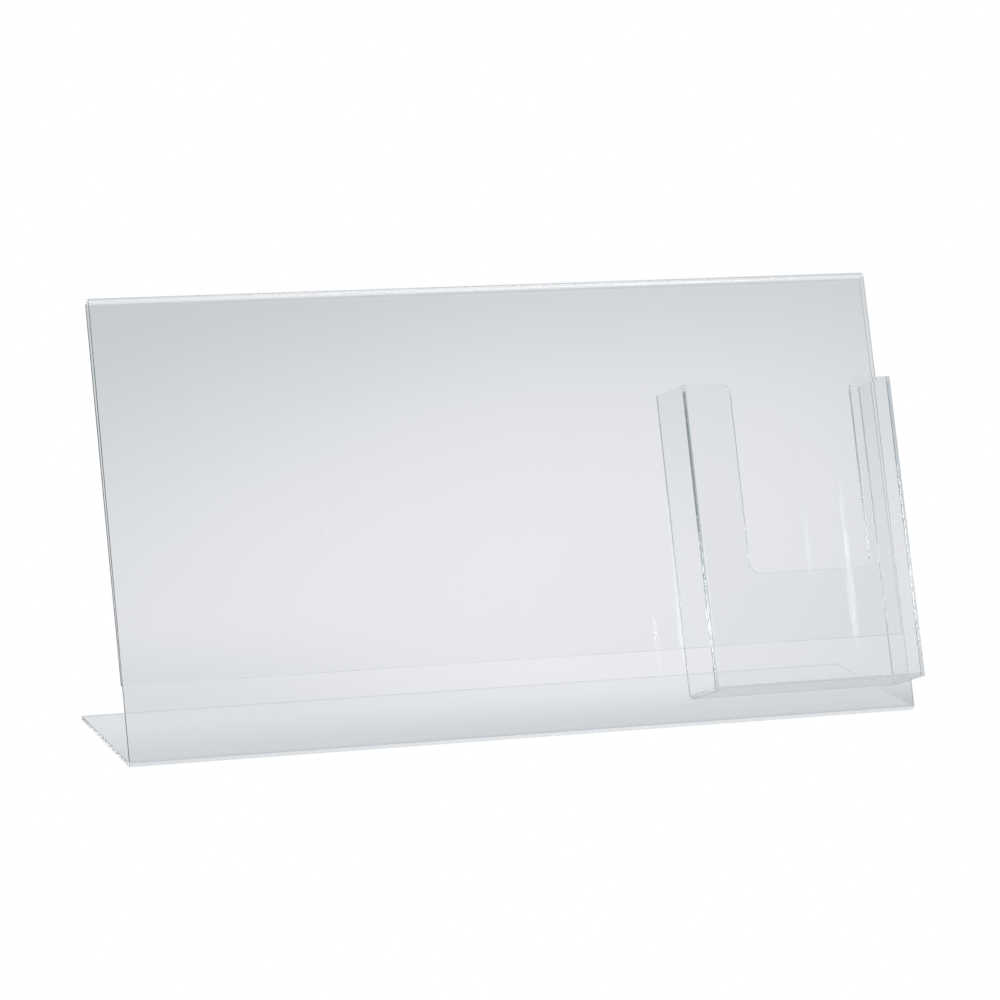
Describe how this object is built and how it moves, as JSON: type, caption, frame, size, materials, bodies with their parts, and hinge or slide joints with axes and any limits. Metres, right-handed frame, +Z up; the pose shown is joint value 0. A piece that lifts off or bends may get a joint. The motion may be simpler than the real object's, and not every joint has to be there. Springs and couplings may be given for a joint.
{
  "type": "brochure rack",
  "caption": "Clear acrylic slant-back sign holder with a tri-fold brochure pocket welded to the right of its front face.",
  "frame": {"origin": "bottom centre of the whole rack's bounding box, on the surface it stands on", "axes": "+X across the rack towards the pocket, +Y to the back, +Z up; the sign and the pocket face -Y"},
  "size_m": [0.397, 0.1247, 0.207],
  "materials": {
    "clear_acrylic": "polished"
  },
  "bodies": {
    "root": {"folded_sheet": "clear_acrylic", "pocket_shell": "clear_acrylic", "pocket_floor": "clear_acrylic"}
  },
  "joints": []
}
